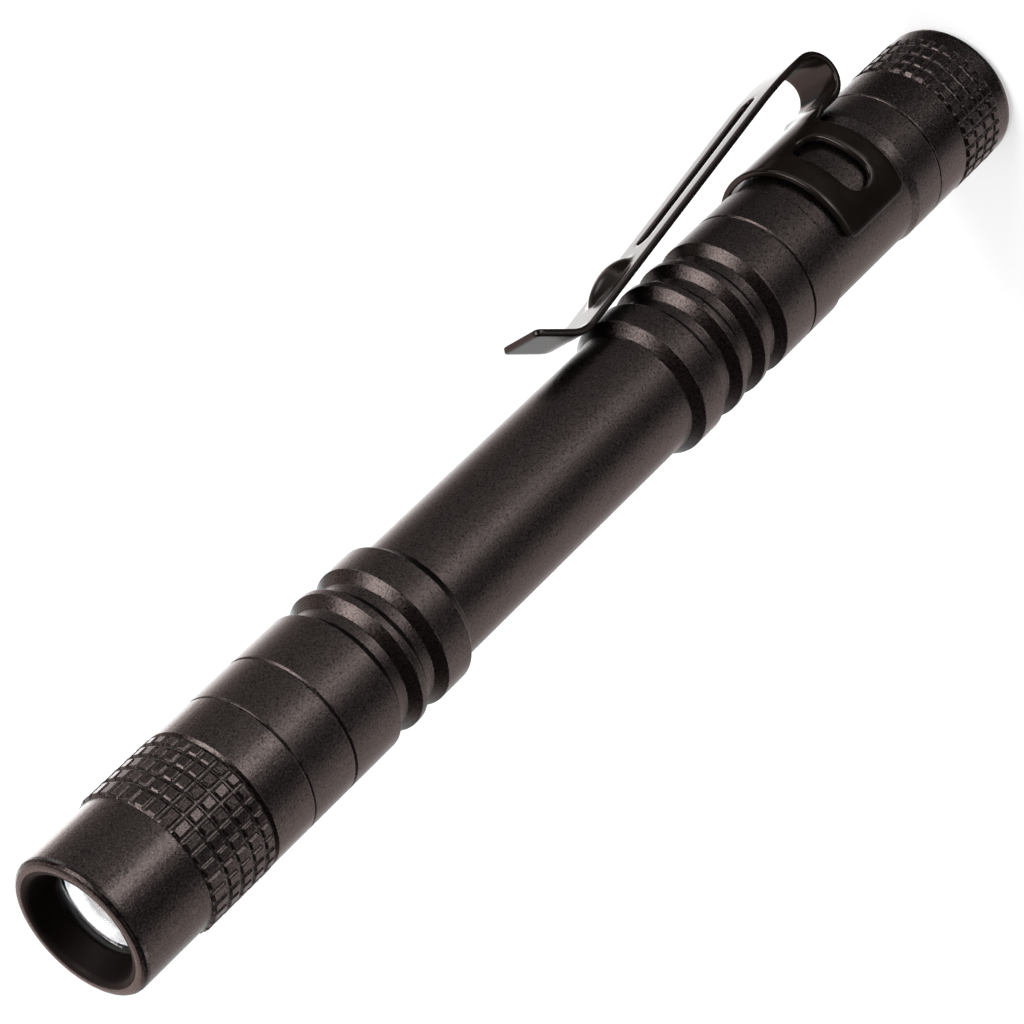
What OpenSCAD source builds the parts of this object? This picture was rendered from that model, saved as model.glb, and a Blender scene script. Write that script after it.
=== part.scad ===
// Penlight for two AAA cells: knurled head, slim grooved battery tube, knurled tail cap with a
// press switch, and a folded spring clip. It stands on its tail: +Z is the beam direction and
// z = 0 is the tail face. The clip points to +X. All sizes are in mm.

/* [Cells] */
// cell diameter
cell_d = 10.5; // [9.8:0.1:10.8]
// cell length with its nub
cell_len = 44.5; // [42:0.5:46]
// radial room round a cell in the tube
cell_fit = 0.1; // [0.06:0.02:0.2]
// nub diameter
nub_d = 3.8; // [3:0.1:5]
// nub height
nub_h = 0.9; // [0.6:0.1:1.4]

/* [Shell] */
// main outside diameter
main_d = 14; // [13.9:0.1:15]
// waist diameter of the battery tube
waist_d = 12.2; // [12:0.1:13]
// length of each threaded spigot
spigot_len = 4.4; // [4:0.1:5.5]
// wall of each threaded spigot
spigot_wall = 0.5; // [0.4:0.05:0.6]
// radial running fit of the screwed and sliding pieces
run_fit = 0.05; // [0.03:0.01:0.08]
// edge break at the ends of the shells
edge_break = 0.2; // [0.1:0.05:0.3]

/* [Head] */
// head length from the tube joint to the front
head_len = 20.75; // [20:0.25:22.5]
// smooth nose diameter
nose_d = 13.52; // [13:0.1:13.8]
// smooth nose length
nose_len = 8.05; // [6.5:0.05:8.5]
// pad rows along the head knurl
head_knurl_rows = 5; // [3:1:6]
// front lip length
lip_len = 2.6; // [2:0.1:3.2]
// lip opening at the front
lip_front_d = 10.6; // [10:0.1:11]
// lip opening at the lens
lip_rear_d = 8.5; // [7.5:0.1:9]
// rounding of the lip's outer edge
lip_round = 0.8; // [0.4:0.1:1]

/* [Knurl] */
// pads around each knurl
knurl_n = 34; // [24:2:40]
// spacing of the pad rows
knurl_pitch = 1.53; // [1.3:0.01:1.6]
// height of the pads over the main diameter, radial
knurl_proud = 0.07; // [0:0.01:0.15]
// groove depth
knurl_depth = 0.24; // [0.16:0.01:0.27]
// groove width
knurl_gap = 0.52; // [0.4:0.02:0.6]
// flat floor of the grooves
knurl_floor = 0.18; // [0.1:0.02:0.26]
// depth of the ring groove that ends each knurl
knurl_end = 0.28; // [0.28:0.01:0.32]

/* [Optics] */
// lens edge thickness
lens_edge = 1; // [0.8:0.1:1.4]
// height of the lens dome
lens_dome = 0.7; // [0.4:0.1:1]
// cord of the lens seal
lens_seal_cord = 0.7; // [0.5:0.1:0.9]
// reflector height
reflector_h = 6.4; // [5.5:0.1:7]
// reflector opening at the lamp
reflector_hole_d = 3.8; // [3.2:0.1:4.4]
// side of the square lamp package
lamp_side = 3.4; // [3:0.1:3.6]
// lamp dome diameter
lamp_dome_d = 2.6; // [2:0.1:3]
// lamp board thickness
lamp_board_t = 1.2; // [0.8:0.1:1.6]
// gasket thickness between the lamp board and the reflector
gasket_t = 0.65; // [0.55:0.05:0.9]
// length of the brass carrier behind the lamp
pill_len = 9.5; // [8:0.5:11]
// driver board thickness
driver_t = 1; // [0.8:0.1:1.4]
// height of the driver's contact stud
stud_h = 1.2; // [0.8:0.1:1.8]

/* [Tube] */
// depth of the ring grooves
groove_depth = 0.9; // [0.5:0.05:0.9]
// width of the ring grooves at the surface
groove_w = 2.9; // [2.4:0.1:3.1]
// spacing of the ring grooves
groove_pitch = 3.55; // [3.4:0.05:4]
// full-diameter length behind the head joint
front_len = 20.7; // [19:0.5:23]
// ring grooves near the head
front_grooves = 2; // [1:1:2]
// head joint to the first front groove
front_groove_at = 11.2; // [9:0.2:12]
// full-diameter length in front of the tail joint
rear_len = 38.5; // [37:0.5:42]
// ring grooves near the tail
rear_grooves = 3; // [1:1:3]
// tail joint to the first rear groove
rear_groove_at = 25.7; // [24.5:0.1:26.5]
// axial length of the slope at each end of the waist
waist_slope = 1.04; // [0.5:0.1:2]
// head joint to the scribed line
front_line_at = 5.3; // [3:0.1:7]
// tail joint to the scribed line
rear_line_at = 21.2; // [19:0.1:23]
// depth and half-width of the scribed lines
line_depth = 0.18; // [0.1:0.02:0.25]

/* [Clip seat] */
// radial depth of the seat
seat_depth = 0.24; // [0.1:0.02:0.4]
// tail joint to the seat's rear end
seat_at = 3.75; // [3:0.05:4.5]
// seat length with its rear ramp
seat_len = 12.9; // [12.2:0.1:14.5]
// length of the rear ramp
seat_ramp = 1; // [0.4:0.1:1.4]

/* [Tail] */
// tail end wall
tail_wall = 1.6; // [1.2:0.1:2.2]
// rounding of the tail edge
tail_round = 0.9; // [0.5:0.1:1.1]
// button hole diameter
button_hole_d = 8.4; // [7.4:0.1:9]
// depth of the button's crown below the tail face
button_recess = 0.45; // [0.3:0.05:0.6]
// button travel
button_travel = 1.2; // [0.8:0.1:1.4]
// button flange thickness
button_flange_t = 0.8; // [0.6:0.1:1]
// tail end to the tail knurl
tail_knurl_at = 2.55; // [2:0.05:3]
// full pad rows along the tail knurl
tail_knurl_rows = 3; // [2:1:4]

/* [Switch] */
// switch housing height
switch_h = 5; // [4.9:0.1:5.6]
// switch board thickness
switch_board_t = 0.7; // [0.5:0.1:1]
// retaining ring thickness
ring_t = 0.8; // [0.6:0.1:1.2]
// plunger stem diameter
plunger_d = 2.6; // [2:0.1:3]
// plunger collar diameter
collar_d = 4.8; // [4.4:0.1:5.4]
// wire of the switch spring
switch_wire = 0.34; // [0.24:0.02:0.36]
// height of the tail contact spring in use
tail_spring_h = 7.35; // [6.6:0.05:8.5]
// wire of the tail contact spring
tail_wire = 0.6; // [0.4:0.05:0.7]

/* [Clip] */
// sheet thickness
clip_t = 0.65; // [0.5:0.05:0.7]
// arm width
clip_w = 5.8; // [5:0.1:6.4]
// tail joint to the band's rear edge
band_at = 5.75; // [5.5:0.05:6.2]
// band height along the body
band_w = 9.05; // [7.5:0.05:9.3]
// half of the band's wrap angle
band_half = 111; // [100:1:120]
// rounding of the band's end corners
band_round = 0.95; // [0.6:0.05:1.8]
// radial room between the band and its seat
band_fit = 0.19; // [0.16:0.01:0.24]
// shift of the band toward the arm
band_shift = 0.2; // [0.14:0.02:0.24]
// outer radius of the fold
fold_r = 2.65; // [2.3:0.05:2.9]
// length of the tongue from the band to the fold
tongue_len = 3.4; // [3:0.1:4]
// length over which the arm bows toward the tube
bow_len = 7.2; // [6:0.2:9]
// straight length of the arm
arm_len = 31; // [30:0.5:34]
// room between the toe and the main diameter, radial
toe_room = 0.2; // [0.15:0.05:0.8]
// bend radius at the toe
toe_r = 3.5; // [2.8:0.1:4.5]
// toe angle outward from the body axis
toe_angle = 34.5; // [28:0.5:40]
// straight length at the tip
tip_len = 3.9; // [3:0.1:5]
// corner cut of the tip
tip_cut = 0.45; // [0.2:0.05:0.8]
// long slot in the arm, width
arm_slot_w = 1.8; // [1:0.1:2.4]
// long slot, distance from the fold's end
arm_slot_at = 5.5; // [4.5:0.5:7]
// long slot, length
arm_slot_len = 21; // [16:0.5:22]
// length of the raised oval near the toe
oval_len = 6.8; // [5:0.2:7.2]
// height of the raised oval
oval_h = 1.2; // [0.8:0.1:1.4]
// window in the band, height along the body
window_w = 3.6; // [2.4:0.1:4]
// drop of the window below the middle of the band
window_drop = 0.25; // [0:0.05:0.4]
// start of the window, angle from the arm
window_from = 28; // [26:1:34]
// end of the window, angle from the arm
window_to = 89.5; // [76:0.5:92]
// spread of the arm in use, degrees
arm_spread = 6; // [4:0.5:6.5]

/* [Hidden] */
$fn = 96;
eps = 0.01;
past = 1;
stop_gap = 0.15;
main_r = main_d / 2;
waist_r = waist_d / 2;
nose_r = nose_d / 2;
seat_r = main_r - seat_depth;
bore_r = cell_d / 2 + cell_fit;
spigot_r = bore_r + spigot_wall;
thread_r = spigot_r + run_fit;
seal_cord = 0.7;
seal_mid_r = spigot_r + run_fit + seal_cord / 2;
seal_bore_r = seal_mid_r + seal_cord / 2 + run_fit;
seal_room = seal_cord + 2 * run_fit;

// levels from the tail face upward
z_switch = tail_wall;
z_board = z_switch + switch_h;
z_ring = z_board + switch_board_t;
z_ring_top = z_ring + ring_t;
z_spigot = z_ring_top + stop_gap;
z_cap = z_spigot + spigot_len;
z_cell = z_ring + tail_spring_h;
z_cell_mid = z_cell + cell_len;
z_cell_top = z_cell_mid + cell_len;
z_stud = z_cell_top + run_fit;
z_driver = z_stud + stud_h;
z_pill = z_driver - stop_gap;
z_lamp_board = z_pill + pill_len;
z_lamp = z_lamp_board + lamp_board_t;
z_reflector = z_lamp + gasket_t;
z_lens = z_reflector + reflector_h;
z_lens_seal = z_lens + lens_edge;
z_lip = z_lens_seal + lens_seal_cord;
z_front = z_lip + lip_len;
z_head = z_front - head_len;
z_nose = z_front - nose_len;
knurl_land = 0.36;
z_head_knurl = z_nose - knurl_land - (head_knurl_rows - 0.12) * knurl_pitch;
z_tail_knurl_top = tail_knurl_at + (tail_knurl_rows + 0.6) * knurl_pitch;
z_head_spigot = z_head + spigot_len;

// optics
optic_r = nose_r - 1.62;
optic_fit = 0.06;
pill_wall = 0.85;
pill_plate = 1.2;
pill_r = min(optic_r, bore_r) - optic_fit - 0.1;
driver_r = pill_r - 0.5;
lead_at = driver_r - 1.15;
lead_r = 0.4;
lead_room = 0.15;
lamp_package_h = 0.6;
chip = driver_r * [0.69, 0.52, 0.28];
coil_block = driver_r * [0.47, 0.34, 0.19];

// clip
band_in_r = seat_r + band_fit;
band_mid_r = band_in_r + clip_t / 2;
band_out_r = band_in_r + clip_t;
z_band = z_cap + band_at;
plate_x = max(band_shift + band_in_r + 0.05, main_r + 0.12);
fold_x = plate_x + fold_r;
fold_in_r = fold_r - clip_t;
fold_mid_r = fold_r - clip_t / 2;
z_fold = z_band - tongue_len;
fold_gap = arm_spread + 2;

// the arm's centre line, round the fold's centre
toe_x = main_r + toe_room + clip_t / 2;
arm_slope = asin((fold_x + fold_mid_r - toe_x) / (arm_len + bow_len / 2));
bow_r = bow_len / arm_slope * 180 / PI;
bow_c = [fold_mid_r - bow_r, 0];
arm_out = [cos(arm_slope), sin(arm_slope)];
arm_from = bow_c + bow_r * arm_out;
toe_c = arm_from + arm_len * [-arm_out.y, arm_out.x] + toe_r * arm_out;
toe_last = 180 - toe_angle;
oval_at = arm_len - oval_len / 2 - 2.9;
oval_sink = 0.3;

// switch
housing_r = thread_r - 0.4;
cavity_r = housing_r - 0.7;
flange_r = cavity_r - 0.12;
button_r = button_hole_d / 2 - 0.12;
z_flange = z_switch + run_fit;
z_flange_top = z_flange + button_flange_t;
z_spring_top = z_board - 0.6;
collar_t = 0.5;
tail_spring_r = bore_r * 0.645;
ring_hole_r = 0.35;

echo(total_length = z_front, head_joint = z_head, tail_joint = z_cap, fold = [fold_x, z_fold]);

// the quarter arc from angle a0 to a1 round a centre, as profile points
function arc_points(c, r, a0, a1, n = 6) =
  [for (i = [0 : n]) c + r * [cos(a0 + (a1 - a0) * i / n), sin(a0 + (a1 - a0) * i / n)]];

// a trapezoid ring groove that starts at height z on a wall of radius r
function groove_points(r, z) = [
  [r, z], [r - groove_depth, z + groove_depth],
  [r - groove_depth, z + groove_w - groove_depth], [r, z + groove_w]
];

// a scribed V line centred on height z
function line_points(r, z) = [[r, z - line_depth], [r - line_depth, z], [r, z + line_depth]];

// joins lists of points into one list
function joined(lists) = [for (list = lists) for (p = list) p];

module ring(r_in, r_out, z0, z1) {
  rotate_extrude()
    translate([r_in, z0])
      square([r_out - r_in, z1 - z0]);
}

module disc(r, z0, z1) {
  translate([0, 0, z0])
    cylinder(r = r, h = z1 - z0);
}

module seal(mid_r, cord, z) {
  rotate_extrude()
    translate([mid_r, z])
      circle(d = cord, $fn = 32);
}

// cutters for a knurl: grooves along it from z0 to z1, and ring grooves at the given heights
module knurl_cuts(z0, z1, rings) {
  top_r = main_r + knurl_proud;
  over = 0.06;
  half = knurl_gap / 2 + (knurl_gap - knurl_floor) / 2 * over / knurl_depth;
  groove = [
    [-knurl_depth, -knurl_floor / 2], [over, -half], [over, half], [-knurl_depth, knurl_floor / 2]
  ];
  for (z = rings)
    rotate_extrude()
      translate([top_r, z])
        polygon(groove);
  for (i = [0 : knurl_n - 1])
    rotate([0, 0, i * 360 / knurl_n])
      translate([top_r, 0, z0])
        linear_extrude(z1 - z0)
          polygon(groove);
}

// heights of n ring grooves below height z
function rings_below(z, n) = [for (k = [1 : n]) z - k * knurl_pitch];

// distance between two turns of a spring path, less the wire
function spring_gap(path, wire, per_turn) = min([
  for (i = [0 : len(path) - 1])
    for (j = [i + floor(per_turn / 2) : 1 : len(path) - 1])
      norm(path[i] - path[j]) - wire
]);

// one unbroken wire wound from radius r0 to r1 over height h, with straight ends
module wound_wire(r0, r1, h, turns, wire, name) {
  per_turn = 9;
  sides = 6;
  n = turns * per_turn;
  rise = h - wire;
  coil = [
    for (i = [0 : n])
      let (f = i / n, a = 360 * i / per_turn, r = r0 + (r1 - r0) * f)
        [r * cos(a), r * sin(a), wire / 2 + rise * f]
  ];
  start = coil[0] - wire * unit(coil[1] - coil[0]);
  finish = coil[n] + wire * unit(coil[n] - coil[n - 1]);
  path = concat([start], coil, [finish]);
  m = len(path);
  rings = [
    for (i = [0 : m - 1])
      let (
        along = unit(path[min(i + 1, m - 1)] - path[max(i - 1, 0)]),
        out = unit([path[i].x, path[i].y, 0] - along * (along * [path[i].x, path[i].y, 0])),
        side = cross(along, out)
      )
        [for (k = [0 : sides - 1])
          path[i] + wire / 2 * (cos(360 * k / sides) * out + sin(360 * k / sides) * side)]
  ];
  walls = [
    for (i = [0 : m - 2])
      for (k = [0 : sides - 1])
        let (a = i * sides + k, b = i * sides + (k + 1) % sides)
          each [[a, a + sides, b + sides], [a, b + sides, b]]
  ];
  first_cap = [[for (k = [0 : sides - 1]) k]];
  last_cap = [[for (k = [sides - 1 : -1 : 0]) (m - 1) * sides + k]];
  echo(name, least_gap = spring_gap(path, wire, per_turn));
  polyhedron(points = joined(rings), faces = concat(walls, first_cap, last_cap), convexity = 6);
}

function unit(v) = v / norm(v);

module head_shell() {
  inner = lip_rear_d / 2;
  front = lip_front_d / 2;
  knurl_r = main_r + knurl_proud;
  color("#1b1817")
    difference() {
      rotate_extrude()
        polygon(joined([
          [[seal_bore_r, z_head], [main_r - edge_break, z_head], [main_r, z_head + edge_break]],
          [[main_r, z_head_knurl - knurl_end], [main_r - knurl_end, z_head_knurl]],
          [[knurl_r, z_head_knurl + knurl_end + knurl_proud], [knurl_r, z_nose - knurl_gap / 2]],
          [[nose_r, z_nose]],
          arc_points([nose_r - lip_round, z_front - lip_round], lip_round, 0, 90),
          arc_points([front + 0.3, z_front - 0.3], 0.3, 90, 180, 4),
          [[inner, z_lip + 0.3], [inner, z_lip], [optic_r, z_lip], [optic_r, z_head_spigot + stop_gap]],
          [[thread_r, z_head_spigot + stop_gap], [thread_r, z_head + seal_room]],
          [[seal_bore_r, z_head + seal_room]]
        ]));
      knurl_cuts(z_head_knurl, z_nose, rings_below(z_nose - knurl_land, head_knurl_rows - 1));
    }
}

module lens() {
  base_r = lip_rear_d / 2 - 0.05;
  dome_r = (base_r * base_r + lens_dome * lens_dome) / (2 * lens_dome);
  color("#dfe9ee", 0.6) {
    disc(optic_r - optic_fit, z_lens, z_lens_seal);
    intersection() {
      translate([0, 0, z_lens_seal + lens_dome - dome_r])
        sphere(r = dome_r);
      disc(base_r, z_lens_seal - 0.3, z_lens_seal + lens_dome + 1);
    }
  }
}

module lens_seal() {
  color("#151413")
    seal(optic_r - optic_fit - lens_seal_cord / 2, lens_seal_cord, z_lens_seal + lens_seal_cord / 2);
}

module reflector() {
  r_out = optic_r - optic_fit;
  r_mouth = r_out - 0.5;
  r_hole = reflector_hole_d / 2;
  steps = 9;
  bowl = [
    for (i = [0 : steps])
      let (r = r_hole + (r_mouth - r_hole) * i / steps)
        [r, z_reflector + 0.5 + (reflector_h - 0.5) * (r * r - r_hole * r_hole)
          / (r_mouth * r_mouth - r_hole * r_hole)]
  ];
  color("#d9dadb")
    rotate_extrude()
      polygon(joined([
        [[r_hole, z_reflector]], bowl, [[r_out, z_lens], [r_out, z_lens - 1.2]],
        [[r_out - 0.7, z_lens - 1.2], [r_hole + 1.4, z_reflector + 0.8], [r_hole + 1.4, z_reflector]]
      ]));
}

module lamp_gasket() {
  color("#f2f1ec")
    ring(norm([lamp_side, lamp_side]) / 2 + 0.1, optic_r * 0.8, z_lamp, z_reflector);
}

module lamp_package() {
  color("#e7d9a3")
    translate([-lamp_side / 2, -lamp_side / 2, z_lamp])
      cube([lamp_side, lamp_side, lamp_package_h - 0.05]);
}

module lamp_dome() {
  z = z_lamp + lamp_package_h - 0.05;
  color("#f4efc9", 0.7)
    intersection() {
      translate([0, 0, z])
        sphere(d = lamp_dome_d);
      disc(lamp_dome_d, z, z + lamp_dome_d);
    }
}

module lamp_board() {
  color("#e9e9e6")
    difference() {
      disc(optic_r - optic_fit, z_lamp_board, z_lamp);
      for (s = [-1, 1])
        translate([s * lead_at, 0, z_lamp_board - past])
          cylinder(r = lead_r + lead_room, h = lamp_board_t + 2 * past);
    }
}

module lamp_leads() {
  color("#b3271e")
    for (s = [-1, 1])
      translate([s * lead_at, 0, z_driver + driver_t])
        cylinder(r = lead_r, h = z_lamp - z_driver - driver_t);
}

module lamp_carrier() {
  color("#c09a4a")
    difference() {
      rotate_extrude()
        polygon([
          [driver_r + run_fit, z_pill], [pill_r, z_pill], [pill_r, z_lamp_board], [0, z_lamp_board],
          [0, z_lamp_board - pill_plate], [pill_r - pill_wall, z_lamp_board - pill_plate],
          [pill_r - pill_wall, z_driver + driver_t], [driver_r + run_fit, z_driver + driver_t]
        ]);
      for (s = [-1, 1])
        translate([s * lead_at, 0, z_lamp_board - pill_plate - past])
          cylinder(r = lead_r + lead_room, h = pill_plate + 2 * past);
    }
}

module driver_board() {
  color("#2d6b3f") {
    disc(driver_r, z_driver, z_driver + driver_t);
    translate([-chip.x / 2, chip.y / 4, z_driver + driver_t - eps])
      cube(chip);
    translate([-coil_block.x / 2, -1.6 * coil_block.y, z_driver + driver_t - eps])
      cube(coil_block);
  }
}

module driver_stud() {
  color("#c9a75a")
    rotate_extrude()
      polygon([
        [0, z_stud], [nub_d / 2 - 0.3, z_stud], [nub_d / 2, z_stud + 0.3],
        [nub_d / 2, z_driver], [0, z_driver]
      ]);
}

module head_seal() {
  color("#141312")
    seal(seal_mid_r, seal_cord, z_head + seal_room / 2);
}

module battery_tube() {
  z_front_end = z_head - front_len;
  z_rear_end = z_cap + rear_len;
  z_seat = z_cap + seat_at;
  color("#1d1a19")
    rotate_extrude()
      polygon(joined([
        [[bore_r, z_spigot], [spigot_r - 0.2, z_spigot], [spigot_r, z_spigot + 0.2], [spigot_r, z_cap]],
        [[main_r - edge_break, z_cap], [main_r, z_cap + edge_break], [main_r, z_seat]],
        [[seat_r, z_seat + seat_ramp], [seat_r, z_seat + seat_len]],
        [[main_r, z_seat + seat_len + 0.2]],
        line_points(main_r, z_cap + rear_line_at),
        joined([
          for (i = [0 : rear_grooves - 1])
            groove_points(main_r, z_cap + rear_groove_at + i * groove_pitch)
        ]),
        [[main_r, z_rear_end], [waist_r, z_rear_end + waist_slope]],
        [[waist_r, z_front_end - waist_slope], [main_r, z_front_end]],
        joined([
          for (i = [front_grooves - 1 : -1 : 0])
            groove_points(main_r, z_head - front_groove_at - groove_w - i * groove_pitch)
        ]),
        line_points(main_r, z_head - front_line_at),
        [[main_r, z_head - edge_break], [main_r - edge_break, z_head]],
        [[spigot_r, z_head], [spigot_r, z_head_spigot - 0.2], [spigot_r - 0.2, z_head_spigot]],
        [[bore_r, z_head_spigot]]
      ]));
}

// one cell standing on height z
module cell(z) {
  r = cell_d / 2;
  shoulder = z + cell_len - nub_h;
  rotate_extrude()
    polygon([
      [0, z], [r - 0.9, z], [r, z + 0.5], [r, shoulder - 0.5], [r - 0.6, shoulder],
      [nub_d / 2 + 0.6, shoulder], [nub_d / 2, shoulder + 0.1], [nub_d / 2, z + cell_len - 0.15],
      [nub_d / 2 - 0.2, z + cell_len], [0, z + cell_len]
    ]);
}

module battery_front() {
  color("#8b8f94")
    cell(z_cell_mid);
}

module battery_rear() {
  color("#8b8f94")
    cell(z_cell);
}

module tail_seal() {
  color("#141312")
    seal(seal_mid_r, seal_cord, z_cap - seal_room / 2);
}

module tail_cap() {
  hole_r = button_hole_d / 2;
  knurl_r = main_r + knurl_proud;
  top = z_tail_knurl_top;
  color("#1b1817")
    difference() {
      rotate_extrude()
        polygon(joined([
          [[hole_r, z_switch], [hole_r, 0.5], [hole_r + 0.5, 0]],
          arc_points([main_r - tail_round, tail_round], tail_round, -90, 0),
          [[main_r, tail_knurl_at - 0.12], [knurl_r, tail_knurl_at - 0.05]],
          [[knurl_r, top - knurl_end - knurl_proud], [main_r - knurl_end, top], [main_r, top + knurl_end]],
          [[main_r, z_cap - edge_break], [main_r - edge_break, z_cap]],
          [[seal_bore_r, z_cap], [seal_bore_r, z_cap - seal_room], [thread_r, z_cap - seal_room]],
          [[thread_r, z_switch]]
        ]));
      knurl_cuts(tail_knurl_at, top, rings_below(top, tail_knurl_rows));
    }
}

module button() {
  color("#171514")
    rotate_extrude()
      polygon(joined([
        [[0, z_flange_top], [flange_r, z_flange_top], [flange_r, z_flange], [button_r, z_flange]],
        arc_points([button_r - 0.6, button_recess + 0.6], 0.6, 0, -80),
        [[0, button_recess]]
      ]));
}

module switch_plunger() {
  stem_top = z_spring_top - button_travel - 0.15;
  color("#e4e1d8")
    rotate_extrude()
      polygon([
        [0, z_flange_top], [collar_d / 2, z_flange_top], [collar_d / 2, z_flange_top + collar_t],
        [plunger_d / 2, z_flange_top + collar_t], [plunger_d / 2, stem_top], [0, stem_top]
      ]);
}

module switch_spring() {
  r = (collar_d / 2 + cavity_r) / 2;
  color("#c9ccd0")
    translate([0, 0, z_flange_top])
      wound_wire(r, r, z_spring_top - z_flange_top, 4, switch_wire, "switch spring");
}

module switch_housing() {
  color("#2b2b2d")
    rotate_extrude()
      polygon([
        [cavity_r, z_switch], [housing_r, z_switch], [housing_r, z_board], [0, z_board],
        [0, z_spring_top], [cavity_r, z_spring_top]
      ]);
}

module switch_board() {
  color("#2d6b3f")
    disc(housing_r, z_board, z_ring);
}

module switch_ring() {
  color("#b9bcbf")
    difference() {
      ring(tail_spring_r + tail_wire + 0.3, thread_r - 0.02, z_ring, z_ring_top);
      for (s = [-1, 1])
        translate([s * (thread_r - 2.1 * ring_hole_r), 0, z_ring - past])
          cylinder(r = ring_hole_r, h = ring_t + 2 * past, $fn = 24);
    }
}

module tail_spring() {
  color("#d2c089")
    translate([0, 0, z_ring])
      wound_wire(tail_spring_r, nub_d / 2, tail_spring_h - run_fit, 5, tail_wire, "tail spring");
}

// a bar with rounded ends, lying along the second axis and centred on the origin
module rounded_bar(length, width) {
  r = width / 2;
  d = length / 2 - r;
  polygon(concat(arc_points([0, d], r, 0, 180, 14), arc_points([0, -d], r, 180, 360, 14)));
}

// a spindle along the arm: a circle segment revolved on its chord
module spindle(half_len, r) {
  big = (half_len * half_len + r * r) / (2 * r);
  reach = asin(half_len / big);
  rotate_extrude()
    polygon(concat(
      [[0, -half_len]],
      [for (i = [-5 : 5]) [r - big + big * cos(reach * i / 6), big * sin(reach * i / 6)]],
      [[0, half_len]]
    ));
}

// the band's window, cut straight in at the middle of its arc
module band_window() {
  middle = (window_from + window_to) / 2;
  chord = 2 * band_out_r * sin((window_to - window_from) / 2);
  rotate([0, 0, middle])
    translate([band_in_r * 0.6, 0, z_band + band_w / 2 - window_drop])
      rotate([0, 90, 0])
        linear_extrude(band_out_r)
          rounded_bar(chord, window_w);
}

// rounds one corner of the band's end; the cut leaves the edges at a small angle
module band_corner(up) {
  r = band_round;
  lead = 10;
  run = 0.9;
  side = up ? -1 : 1;
  first = r * [sin(lead), cos(lead)] + run * [-cos(lead), sin(lead)];
  last = r * [cos(lead), sin(lead)] + run * [sin(lead), -cos(lead)];
  outline = concat(
    [[r + 1, last.y], [r + 1, r + 1], [first.x, r + 1], first],
    arc_points([0, 0], r, 90 - lead, lead, 9),
    [last]
  );
  rotate([0, 0, band_half - r / band_mid_r * 180 / PI])
    translate([band_in_r - 1, 0, z_band + (up ? band_w - r : r)])
      rotate([0, 90, 0])
        linear_extrude(clip_t + 2)
          polygon([for (p = outline) [side * p.x, p.y]]);
}

// front outline of the flat tongue below the band, with a relief notch on each side of its root
function tongue_profile() =
  let (
    side = clip_w / 2,
    root = side - 0.5,
    notch = z_band - 0.4,
    top = z_band + 1.2
  )
    [
      [-side, z_fold], [side, z_fold], [side, notch], [root, notch], [root, top],
      [-root, top], [-root, notch], [-side, notch]
    ];

module clip_band() {
  color("#121110") {
    translate([band_shift, 0, 0])
      difference() {
        rotate([0, 0, -band_half])
          rotate_extrude(angle = 2 * band_half)
            translate([band_in_r, z_band])
              square([clip_t, band_w]);
        for (side = [0, 1])
          mirror([0, side, 0]) {
            band_window();
            band_corner(true);
            band_corner(false);
          }
      }
    translate([plate_x, 0, 0])
      rotate([90, 0, 90])
        linear_extrude(clip_t)
          polygon(tongue_profile());
  }
}

// side profile of the arm round the fold's centre: fold, bow, straight, toe and tip
function arm_profile() =
  let (
    half = clip_t / 2,
    step = arm_slope / 8,
    tip = toe_c + toe_r * [cos(toe_last), sin(toe_last)] + tip_len * [sin(toe_last), -cos(toe_last)],
    side = half * [cos(toe_last), sin(toe_last)]
  )
    concat(
      arc_points([0, 0], fold_r, 180 + fold_gap, 360, 28),
      arc_points(bow_c, bow_r + half, step, arm_slope, 7),
      arc_points(toe_c, toe_r - half, 180 + arm_slope, toe_last, 10),
      [tip - side, tip + side],
      arc_points(toe_c, toe_r + half, toe_last, 180 + arm_slope, 10),
      arc_points(bow_c, bow_r - half, arm_slope, step, 7),
      arc_points([0, 0], fold_in_r, 360, 180 + fold_gap, 28)
    );

// places children on the straight of the arm: x away from the tube, z along it
module on_arm() {
  translate([arm_from.x, 0, arm_from.y])
    rotate([0, -arm_slope, 0])
      children();
}

module clip_arm() {
  half = clip_t / 2;
  dome_r = oval_h + oval_sink;
  wide = clip_w / 2 + past;
  corner = [[wide, tip_cut + past], [wide - tip_cut - 2 * past, -past], [wide, -past]];
  color("#121110")
    translate([fold_x, 0, z_fold])
      difference() {
        union() {
          rotate([90, 0, 0])
            linear_extrude(clip_w, center = true)
              polygon(arm_profile());
          on_arm()
            intersection() {
              translate([half - oval_sink, 0, oval_at])
                spindle(oval_len / 2, dome_r);
              translate([0, -clip_w / 2, 0])
                cube([dome_r + clip_t, clip_w, arm_len]);
            }
        }
        on_arm() {
          translate([-half - past, 0, arm_slot_at - bow_len + arm_slot_len / 2])
            rotate([90, 0, 90])
              linear_extrude(clip_t + 2 * past)
                rounded_bar(arm_slot_len, arm_slot_w);
          translate([half - oval_sink, 0, oval_at])
            spindle(oval_len / 2 - 0.8, dome_r - clip_t);
        }
        translate([toe_c.x, 0, toe_c.y])
          rotate([0, -toe_last, 0])
            translate([toe_r - half - past, 0, -tip_len])
              rotate([90, 0, 90])
                linear_extrude(clip_t + 2 * past)
                  for (side = [-1, 1])
                    polygon([for (p = corner) [side * p.x, p.y]]);
      }
}

head_shell();
lens();
lens_seal();
reflector();
lamp_gasket();
lamp_dome();
lamp_package();
lamp_board();
lamp_leads();
lamp_carrier();
driver_board();
driver_stud();
head_seal();
battery_tube();
battery_front();
battery_rear();
tail_seal();
tail_cap();
button();
switch_plunger();
switch_spring();
switch_housing();
switch_board();
switch_ring();
tail_spring();
clip_band();
clip_arm();
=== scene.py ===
"""Looks of a two-cell penlight that stands on its tail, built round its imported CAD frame."""

import math

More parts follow.
